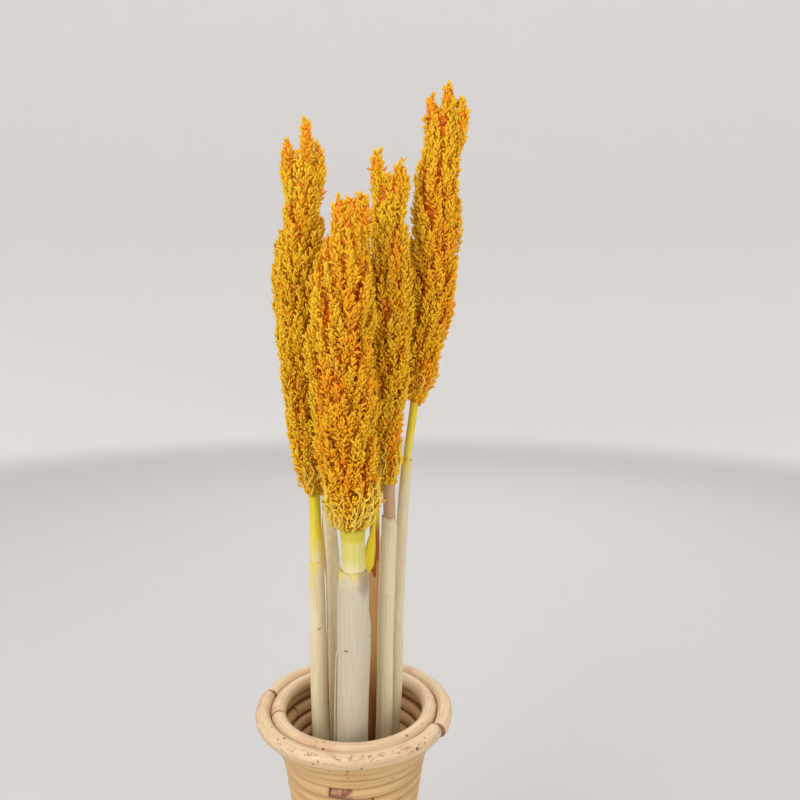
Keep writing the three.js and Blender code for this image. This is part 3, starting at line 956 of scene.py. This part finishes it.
def wall_rings(names):
    """Height, radius and cane radius of each ring. Each cane presses a little into its neighbours."""
    boxes = [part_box(name) for name in names]
    places = np.array([((low.z + high.z) / 2, high.x - WALL_CANE_RADIUS) for low, high in boxes])
    spacing = np.linalg.norm(np.diff(places, axis=0), axis=1)
    touching = np.maximum(np.append(spacing, spacing[-1]), np.insert(spacing, 0, spacing[0])) / 2
    return [(height, radius, thick + RING_SQUEEZE) for (height, radius), thick in zip(places, touching)]


def make_wall(look):
    """Each ring is one cane whose two cut ends meet; the joints step round the vase from ring to ring."""
    names = sorted(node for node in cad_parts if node.startswith("wall_cane_"))
    front_joints = {len(names) - 3: -106, len(names) - 4: -72}
    for number, (node, ring) in enumerate(zip(names, wall_rings(names)), 1):
        rng = np.random.default_rng(100 + number)
        joint = math.radians(front_joints.get(number, 90 + 75 * math.sin(number * 2.4)))
        gap = 0.25 * MM / ring[1]
        stain_at = joint if number == len(names) - 3 else None
        build = Build()
        bent_cane(build, ring, rng, joint + gap / 2, TURN - gap, stain_at=stain_at, groove_shade=1.0,
                  growth_at=0.5 if number in front_joints else 0.06 + 0.1 * rng.random())
        build.piece(f"cane_ring_{number:02d}", look, "wall_cane", [node])


def rim_ring(node):
    low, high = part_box(node)
    return (low.z + high.z) / 2, high.x - (high.z - low.z) / 2, RIM_CANE_RADIUS


def rim_marks():
    """Specks on the two rim canes. Each has its bearing round the vase, its bearing round the cane and its
    size, and they stand in lists by cane and colour."""
    olive, black, red = tint(96, 84, 44), tint(46, 38, 32), tint(150, 16, 44)
    spots = [
        ("outer", olive, [(-180, 58, 0.9), (-175, 49, 0.8), (-147, 101, 0.9), (-134.5, 60, 0.8),
                          (-132, 90, 1.3), (135, 56, 0.9), (131.6, 56, 0.8), (149, 75, 0.9),
                          (-51, 22, 1.3), (-43, 61, 0.8), (-106, 13, 0.8), (-83, -27, 1.0)]),
        ("outer", black, [(-34, -41, 1.6), (-30, -30, 0.9)]),
        ("inner", olive, [(152.5, 50, 0.8), (-12.6, 75, 0.8), (-31.5, 65, 0.9), (-49, 54, 1.1),
                          (-112.6, 72, 0.7), (-108, 80, 0.7)]),
        ("inner", red, [(-107, 30, 1.4)]),
        ("outer", red, [(-106, 130, 1.1)]),
    ]
    marks = []
    for cane, colour, specks in spots:
        height, radius, thickness = rim_ring(f"rim_cane_{cane}")
        for round_vase, round_cane, size in specks:
            bearing, turn = math.radians(round_vase), math.radians(round_cane)
            away = radius + thickness * math.cos(turn)
            up = height + thickness * math.sin(turn)
            marks.append(((away * math.cos(bearing), away * math.sin(bearing), up), size * MM, colour))
    return marks


def make_rim(look):
    """The inner rim is one cane, butted at the left. The outer is two, scarfed at right and left."""
    rng = np.random.default_rng(7)
    inner, outer = Build(), Build()
    ring = rim_ring("rim_cane_inner")
    bent_cane(inner, ring, rng, math.radians(194), TURN - 0.4 * MM / ring[1], growth_at=0.72)
    inner.piece("rim_inner", look, "rim_cane", ["rim_cane_inner"])
    ring = rim_ring("rim_cane_outer")
    right, left = math.radians(-27), math.radians(166)
    gap = 0.5 * MM / ring[1]
    bent_cane(outer, ring, rng, right + gap, left - right - gap, (1.3 * MM, -0.7 * MM), growth_at=0.6)
    bent_cane(outer, ring, rng, left + gap, TURN - (left - right) - gap, (0.7 * MM, -0.9 * MM), 1.0,
              growth_at=-1)
    outer.piece("rim_outer", look, "rim_cane", ["rim_cane_outer"])


def turned(profile, count):
    """The points of a profile of radii and heights, spun round the axis ring by ring."""
    turn = np.linspace(0, TURN, count, endpoint=False)
    return [(radius * math.cos(angle), radius * math.sin(angle), height)
            for radius, height in profile for angle in turn]


def make_base(look):
    """A turned board with eased edges."""
    _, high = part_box("base")
    radius, top = high.x, high.z
    ease, count = 1.1 * MM, 96
    arc = np.linspace(0, math.pi / 2, 5)
    flats = [0.02, 0.35, 0.7, 0.92]
    profile = [(radius * share, 0.0) for share in flats]
    profile += [(radius - ease + ease * math.sin(a), ease - ease * math.cos(a)) for a in arc]
    profile += [(radius - ease + ease * math.cos(a), top - ease + ease * math.sin(a)) for a in arc]
    profile += [(radius * share, top) for share in reversed(flats)]
    points = turned(profile, count) + [(0.0, 0.0, 0.0), (0.0, 0.0, top)]
    build = Build()
    build.add(points, closed(len(profile), count))
    build.piece("base_board", look, "base_board", ["base"])


# ---- stage, light and camera

def make_stage():
    """A pale floor that sweeps up into a low wall all round, so that every view has a plain background."""
    flat, sweep, wall, count = 1.9, 0.8, 2.6, 96
    arc = np.linspace(0, math.pi / 2, 14)
    profile = [(0.0, 0.0), (flat, 0.0)]
    profile += [(flat + sweep * math.sin(a), sweep - sweep * math.cos(a)) for a in arc[1:]]
    profile.append((flat + sweep, wall))
    faces = wrapped(len(profile), count).tolist()
    mesh = bpy.data.meshes.new("floor")
    mesh.from_pydata(turned(profile, count), [], faces)
    mesh.polygons.foreach_set("use_smooth", [True] * len(faces))
    floor = bpy.data.objects.new("floor", mesh)
    bpy.context.scene.collection.objects.link(floor)
    paint = Paint("pale_floor", 0.1)
    paint.put("Roughness", 0.9)
    height = paint.parts(paint.place())[2]
    # The floor is painted darker than the wall rising from it: painted shade that evens out the stronger
    # light on the floor.
    paint.put("Base Color", paint.mix(tint(196, 193, 190), tint(222, 219, 216), height.ramp(0.0, 45 * MM)))
    mesh.materials.append(paint.material)


def make_light(name, place, target, size, watts, colour):
    light = bpy.data.lights.new(name, "AREA")
    light.shape = "DISK"
    light.size = size
    light.energy = watts
    light.color = colour
    lamp = bpy.data.objects.new(name, light)
    lamp.location = place
    lamp.rotation_euler = (Vector(target) - Vector(place)).to_track_quat("-Z", "Y").to_euler()
    bpy.context.scene.collection.objects.link(lamp)


def make_lights():
    middle = (0.0, 0.0, 0.42)
    make_light("window", (-1.25, -1.35, 1.45), middle, 1.5, 21.0, (1.0, 0.985, 0.96))
    make_light("room", (1.2, -1.4, 0.55), middle, 1.6, 11.0, (1.0, 0.98, 0.96))
    make_light("back", (0.3, 1.5, 1.3), middle, 1.5, 8.0, (0.97, 0.98, 1.0))
    world = bpy.data.worlds.new("soft_sky")
    world.use_nodes = True
    sky = world.node_tree.nodes["Background"]
    sky.inputs["Color"].default_value = (0.93, 0.95, 1.0, 1.0)
    sky.inputs["Strength"].default_value = 1.2
    bpy.context.scene.world = world


def make_camera():
    """Held a little right of the vase and above its rim, tipped slightly down."""
    camera = bpy.data.cameras.new("camera")
    camera.sensor_width = 36.0
    camera.lens = CAMERA_LENS
    holder = bpy.data.objects.new("camera", camera)
    holder.location = CAMERA_PLACE
    holder.rotation_euler = (math.pi / 2 - CAMERA_DIP, 0.0, 0.0)
    bpy.context.scene.collection.objects.link(holder)
    bpy.context.scene.camera = holder


def make_plants():
    grain_look = grain_paint()
    branch_look = branch_paint()
    stalk_look = stalk_paint()
    sheath_look = sheath_paint()
    make_flag_leaf(sheath_look)
    make_shade_strip(sheath_look)
    for name, own in PLANTS.items():
        plant = {**USUAL_PLANT, **own}
        make_stalk(name, plant, stalk_look)
        make_leaf_sheath(name, plant, sheath_look)
        make_seed_head(name, plant, grain_look, branch_look)


def make_vase():
    make_base(board_paint())
    make_wall(cane_paint("wall_cane", tint(212, 178, 124), tint(178, 134, 80), tint(150, 96, 60)))
    make_rim(cane_paint("rim_cane", tint(220, 194, 156), tint(190, 154, 112), tint(132, 94, 70),
                        rim_marks()))


make_stage()
make_lights()
make_camera()
make_vase()
make_plants()
bpy.context.scene.view_settings.view_transform = "Standard"
